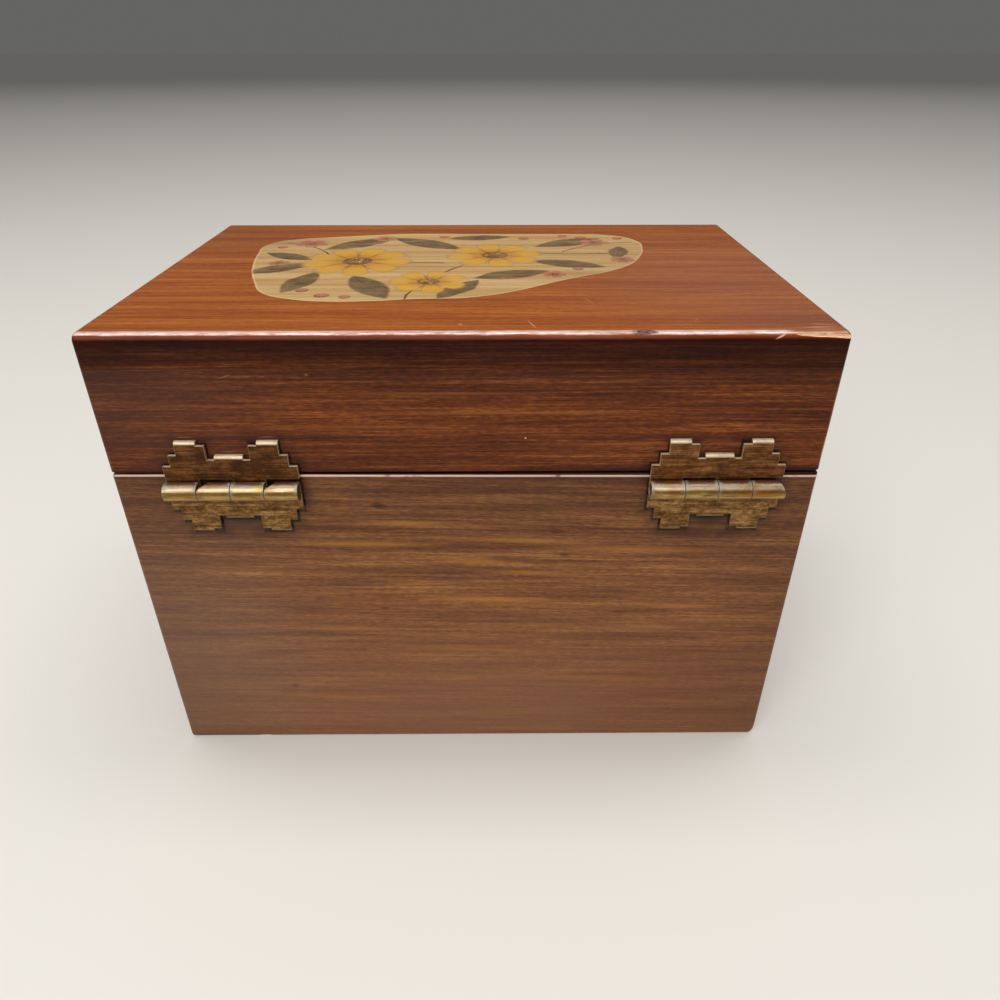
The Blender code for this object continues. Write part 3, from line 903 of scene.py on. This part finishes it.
# dark, middle and light of each brass
brass = dict(
    # the two bend brasses are pale: a painted highlight on the sheet's edges and bends, partly rubbed by
    # handling
    lidBendHighlight=((150, 122, 90), (228, 206, 172), (246, 232, 206)),
    bodyBendHighlight=((118, 92, 66), (160, 130, 100), (196, 168, 136)),
    knuckle=((90, 64, 32), (152, 118, 64), (192, 170, 124)),
    leftLid=((60, 38, 24), (108, 71, 42), (158, 114, 70)),
    rightLid=((52, 32, 21), (90, 58, 37), (136, 94, 58)),
    body=((62, 42, 24), (118, 86, 52), (176, 138, 90)),
    pin=((110, 84, 44), (168, 140, 84), (206, 184, 130)),
)
# how handling and damp have marked the knuckles, with a painted highlight, shade and reflection on them, by
# height in millimetres
patinaAndSheen = dict(
    yellow=(182, 168, 94), yellowShare=0.38,
    brown=(156, 98, 42), brownShare=dict(left=0.65, right=0.2),
    verdigris=(100, 138, 124), verdigrisStarts=(74.4, 75.8), joint=0.16,
    # the silver tone is bare crest and painted highlight, the dull tone is painted shade, and the rubbed tone
    # is a painted reflection
    silverWearAndHighlight=(194, 179, 166), silverWearAndHighlightStarts=(75.4, 76.6),
    shadeBand=(96, 66, 30), shadeBandStarts=(74.8, 75.2), shadeBandEnds=(75.6, 76.1),
    rubbed=(206, 172, 124), lowerReflectionEnds=(73.9, 74.6), share=0.55,
)


def brassLook(name, tones, roughness, streak, centre=0.0, grit=0.0, bright=1.0, side=None):
    material, look = newLook(name)
    plain = look.place(0, (centre * 1.7, 0, 0))
    brushed = look.noise(plain, 7, 0.10, 3, 0.7)
    broad = look.noise(plain, 12, 0.8, 3, 0.6)
    patches = look.noise(plain, 2.6, 1.4, 3, 0.6)
    tone = (brushed - 0.5) * streak + (broad - 0.5) * 0.8 + (patches - 0.5) * 0.9 + 0.5
    tone = tone + (look.noise(plain, 0.7, 0.4, 2, 0.7) - 0.5) * grit
    base = look.ramp(tone, list(zip((0.2, 0.5, 0.85), tones)))
    metal = look.fall(tone, 0.1, 0.4) * -0.35 * bright + bright
    rough = look.noise(plain, 1.2, 0.5, 2) * 0.25 + roughness - 0.1
    if side:
        there = look.place()
        x, y, z = look.split(there)
        joint = abs(((x - centre) / (hinge["length"] / 4) + 100.5).fraction() - 0.5)
        green = look.fall(joint, 0.0, patinaAndSheen["joint"]) * look.rise(look.noise(there, 0.9, 0.7, 3), 0.40, 0.55)
        green = green * look.rise(z, *patinaAndSheen["verdigrisStarts"])
        yellow = look.rise(look.noise(there, 5, 1.6, 2), 0.46, 0.62) * patinaAndSheen["yellowShare"]
        brown = look.rise(look.noise(there, 8, 40, 1), 0.44, 0.56) * patinaAndSheen["brownShare"][side]
        # the crests are handled bare and painted pale as a highlight, with a band of painted shade along
        # their fronts and a pale band under it that is a painted reflection
        silverWearAndHighlight = look.rise(z, *patinaAndSheen["silverWearAndHighlightStarts"]) * look.rise(look.noise(plain, 5, 3, 3), 0.2, 0.55)
        shadeBand = look.rise(z, *patinaAndSheen["shadeBandStarts"]) * look.fall(z, *patinaAndSheen["shadeBandEnds"])
        shadeBand = shadeBand * look.rise(patches, 0.3, 0.55)
        rubbed = look.fall(z, *patinaAndSheen["lowerReflectionEnds"])
        for kind, share in (("yellow", yellow), ("brown", brown), ("verdigris", green),
                            ("silverWearAndHighlight", silverWearAndHighlight * patinaAndSheen["share"]), ("shadeBand", shadeBand * patinaAndSheen["share"]),
                            ("rubbed", rubbed * patinaAndSheen["share"])):
            base = look.tint(base, patinaAndSheen[kind], share)
        metal, rough = metal * (1 - green * 0.8), rough + green * 0.3
    # painted shade on edge faces that turn sideways, so the pale painted highlight stays on faces turned up
    # or down
    if bright < 1:
        facing = look.split(look.node("TexCoord", out="Normal"))[2]
        base = look.tint(base, tones[0], look.fall(abs(facing), 0.3, 0.75) * 0.8)
    look.finish(base, rough, metal, Normal=look.bump(brushed * 0.7 + patches, hinge["grainDepth"]))
    return material


# where a crown ends and the notch begins, and the prongs' ends, from the leaf's middle
def leafStations():
    crownEnd = hinge["length"] / 2 - 2 * hinge["step"]
    notchEnd = crownEnd * hinge["notchShare"]
    crownProng = crownEnd - (crownEnd - notchEnd) * hinge["crownProngShare"]
    notchProng = notchEnd * hinge["notchProngShare"]
    return crownEnd, notchEnd, crownProng, notchProng


# the curled stretches of the lid's leaf; the body's leaf, turned end for end, has those between
def knuckleEnds():
    half, gap = hinge["length"] / 2, hinge["knuckleGap"] / 2
    return [(gap - half / 2, -gap), (half / 2 + gap, half)]


def edgeBetween(edge, start, end, height):
    ends = [v.co for v in edge.verts]
    return all(start * mm - 1e-5 < co.x < end * mm + 1e-5 and near(co.z, height * mm, 1e-5) for co in ends)


def drawOut(test, z=0, y=0):
    pick("EDGE", test)
    shape.extrude_edges_move(TRANSFORM_OT_translate={"value": (0, y * mm, z * mm)})


# spins the picked edges about a line along x
def turnSheet(steps, angle, centre):
    shape.spin(steps=steps, angle=-radians(angle), center=centre, axis=(1, 0, 0))


# slices the sheet above one height at each place along the pin
def sliceAt(places, low):
    for x in places:
        pick("FACE", lambda f: middle(f).z > low * mm)
        shape.bisect(plane_co=(x * mm, 0, 0), plane_no=(1, 0, 0), threshold=1e-6)


# the leaf as a bare sheet, its pin's axis at the origin
def leafBlank():
    slot, base, notch, brow, crown, bend = (
        hinge[key] for key in ("slot", "base", "notch", "shoulder", "crown", "bend"))
    half = hinge["length"] / 2
    shoulder = half - hinge["step"]
    crownEnd, notchEnd, crownProng, notchProng = leafStations()
    sheetY = -(hinge["barrel"] - hinge["sheet"] / 2)
    letGo()
    tall = base - slot
    shape.primitive_plane_add(
        size=1, location=(0, sheetY * mm, (slot + tall / 2) * mm), rotation=(pi / 2, 0, 0))
    leaf = bpy.context.object
    leaf.name = leaf.data.name = "leafBlank"
    leaf.scale = (hinge["length"] * mm, tall * mm, 1)
    bpy.ops.object.transform_apply()
    openUp(leaf)
    sliceAt([end for pair in knuckleEnds() for end in pair if abs(end) < half], 0)
    # the knuckles, curled round the pin
    for start, end in knuckleEnds():
        drawOut(lambda e: edgeBetween(e, start, end, slot), -slot)
        pick("EDGE", lambda e: edgeBetween(e, start, end, 0))
        turnSheet(hinge["curlSteps"], hinge["curl"], (0, 0, 0))
    # the head, drawn up step by step
    places = (shoulder, crownEnd, notchEnd, crownProng, notchProng)
    sliceAt([side * place for place in places for side in (-1, 1)], slot)
    drawOut(lambda e: edgeBetween(e, -shoulder, shoulder, base), notch - base)
    for side in (-1, 1):
        outer = sorted((side * notchEnd, side * shoulder))
        drawOut(lambda e: edgeBetween(e, *outer, notch), brow - notch)
        inner = sorted((side * notchEnd, side * crownEnd))
        drawOut(lambda e: edgeBetween(e, *inner, brow), crown - brow)
    # the prongs, bent square into the wood
    reach = hinge["leafGap"] + hinge["sheet"] / 2 + hinge["prong"] - bend
    for start, end, height in ((crownProng, crownEnd, crown), (-crownEnd, -crownProng, crown),
                               (-notchProng, notchProng, notch)):
        pick("EDGE", lambda e: edgeBetween(e, start, end, height) and near(middle(e).y, sheetY * mm, 1e-5))
        lowY = (sheetY - bend) * mm
        turnSheet(hinge["bendSteps"], 90, (0, lowY, height * mm))
        top = height + bend
        drawOut(lambda e: edgeBetween(e, start, end, top) and all(near(v.co.y, lowY, 1e-5) for v in e.verts),
                y=-reach)
    close()
    return leaf


# slides the end of a curl back, where the blank's tab was cut slanting
def slantCurl(leaf, end, inward, deep, fromTurn, toTurn):
    openUp(leaf)
    radius = hinge["barrel"] - hinge["sheet"] / 2
    for step in range(hinge["curlSteps"] + 1):
        turn = hinge["curl"] * step / hinge["curlSteps"]
        if turn > toTurn:
            break
        share = min(1.0, (toTurn - turn) / (toTurn - fromTurn))
        at = Vector((end, -radius * cos(radians(turn)), -radius * sin(radians(turn)))) * mm
        pick("VERT", lambda v: (v.co - at).length < 2e-5)
        bpy.ops.transform.translate(value=(inward * deep * share * mm, 0, 0))
    close()


def thicken(leaf, looks):
    paintWith(leaf, *looks)
    finishWith(leaf, "SOLIDIFY", thickness=hinge["sheet"] * mm, offset=0, use_even_offset=True, use_rim=True,
               material_offset_rim=1)
    openUp(leaf)
    pickAll()
    shape.remove_doubles(threshold=1e-6)
    shape.normals_make_consistent(inside=False)
    close()
    easeEdges(leaf, hinge["edge"], hinge["edgeSteps"], material=1)
    smooth(leaf, 40)


# gives the faces that pass the test another of the leaf's brasses
def dress(leaf, slot, test):
    pick("FACE", test)
    leaf.active_material_index = slot
    bpy.ops.object.material_slot_assign()


def makeHinges():
    blank = leafBlank()
    # pale brasses for the sheet's edges and bends: a painted highlight, partly rubbed by handling
    bendHighlights = {"lid": brassLook("rubbedHighlightBrass", brass["lidBendHighlight"], 0.36, 0.5, bright=0.4),
             "body": brassLook("dullHighlightBrassEdge", brass["bodyBendHighlight"], 0.4, 0.5, bright=0.6)}
    slants = {"right": [(start, 1, 2.0, 90, 150) for start, end in knuckleEnds()],
              "left": [(hinge["length"] / 2, -1, 1.2, 90, 170)]}
    for side in ("left", "right"):
        pinLow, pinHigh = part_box(side + "_hinge_pin")
        centre = (pinLow + pinHigh) / 2
        at = centre.x / mm
        knuckles = brassLook(side + "KnuckleBrass", brass["knuckle"], 0.3, 0.8, at, side=side)
        for body, streak, grit in (("lid", 1.3, 0.4), ("body", 0.9, 0.7)):
            kind = side + body.capitalize()
            plate = brassLook(kind + "LeafBrass", brass.get(kind, brass["body"]), 0.45, streak, at, grit)
            leaf = copyOf(blank, f"{side}Hinge{body.capitalize()}Leaf")
            for slant in slants[side] if body == "body" else ():
                slantCurl(leaf, *slant)
            thicken(leaf, [plate, bendHighlights[body], knuckles])
            openUp(leaf)
            pickAll()
            if body == "body":
                bpy.ops.transform.rotate(value=pi, orient_axis="Y", center_override=(0, 0, 0))
            bpy.ops.transform.translate(value=centre)
            # the curl takes the knuckles' brass; faces turned up or down, away from the pin, take the pale
            # edge brass: a painted highlight, partly polished by handling
            dress(leaf, 2, lambda f: f.material_index == 0 and middle(f).y > halfDepth + 1.35 * mm)
            dress(leaf, 1, lambda f: f.material_index == 0 and abs(f.normal.z) > 0.35
                  and middle(f).y < halfDepth + 1.1 * mm and abs(middle(f).z - centre.z) > 5.5 * mm)
            close()
            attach(leaf, "lid" if body == "lid" else "box")
            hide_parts(f"{side}_hinge_{body}_leaf")
        wire = brassLook(side + "PinWire", brass["pin"], 0.3, 0.5, at)
        paintWith(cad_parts[side + "_hinge_pin"], wire)
    bpy.data.objects.remove(blank)
    print("hinges made")


# Floor, light and camera

studio = dict(
    floor=(226, 222, 214), farFloor=(133, 132, 131), floorFades=(250, 5000), floorSize=40.0,
    low=0.13, high=0.62, turnsPale=(0.30, 0.85),
    softbox=dict(at=(0.0, -0.10, 1.05), size=(1.2, 0.28), watts=4.2),
    fill=dict(at=(0.22, 0.85, 0.76), size=(1.1, 0.7), watts=8.2),
)


def place(name, data, at):
    obj = bpy.data.objects.new(name, data)
    bpy.context.scene.collection.objects.link(obj)
    obj.location = at
    return obj


def lamp(name, at, size, watts):
    light = bpy.data.lights.new(name, "AREA")
    light.shape, light.size, light.size_y, light.energy = "RECTANGLE", *size, watts
    obj = place(name, light, at)
    obj.rotation_euler = (Vector((0, 0, 0.05)) - Vector(at)).to_track_quat("-Z", "Y").to_euler()


def makeStudio():
    letGo()
    shape.primitive_plane_add(size=studio["floorSize"], location=(0, 0, 0))
    floor = bpy.context.object
    floor.name = "floor"
    material, look = newLook("floorPaper")
    away = look.length(look.place())
    look.finish(look.tint(studio["floor"], studio["farFloor"], look.rise(away, *studio["floorFades"])), 0.9)
    floor.data.materials.append(material)
    world = bpy.data.worlds.new("studioAir")
    bpy.context.scene.world = world
    world.use_nodes = True
    look = Look(world.node_tree)
    up = look.split(look.node("TexCoord", out="Generated"))[2]
    level = look.rise(up, *studio["turnsPale"]) * (studio["high"] - studio["low"]) + studio["low"]
    air = look.node("Background", {}, {"Color": (1.0, 0.99, 0.975, 1), "Strength": level})
    look.node("OutputWorld", {}, {"Surface": air})
    lamp("softbox", **studio["softbox"])
    lamp("fill", **studio["fill"])
    print("studio ready")


view = dict(at=(-0.0060, 0.1847, 0.1532), yaw=0.42, pitch=31.28, lens=26.93, sensor=36)


def makeCamera():
    camera = bpy.data.cameras.new("camera")
    camera.lens, camera.sensor_width, camera.sensor_fit = view["lens"], view["sensor"], "HORIZONTAL"
    camera.clip_start = 0.01
    yaw, pitch = radians(view["yaw"]), radians(view["pitch"])
    ahead = Vector((-sin(yaw) * cos(pitch), -cos(yaw) * cos(pitch), -sin(pitch)))
    obj = place("camera", camera, view["at"])
    obj.rotation_euler = ahead.to_track_quat("-Z", "Y").to_euler()
    bpy.context.scene.camera = obj


makeCamera()
makeStudio()
makeBoards()
makeHinges()
bpy.context.scene.view_settings.view_transform = "Standard"
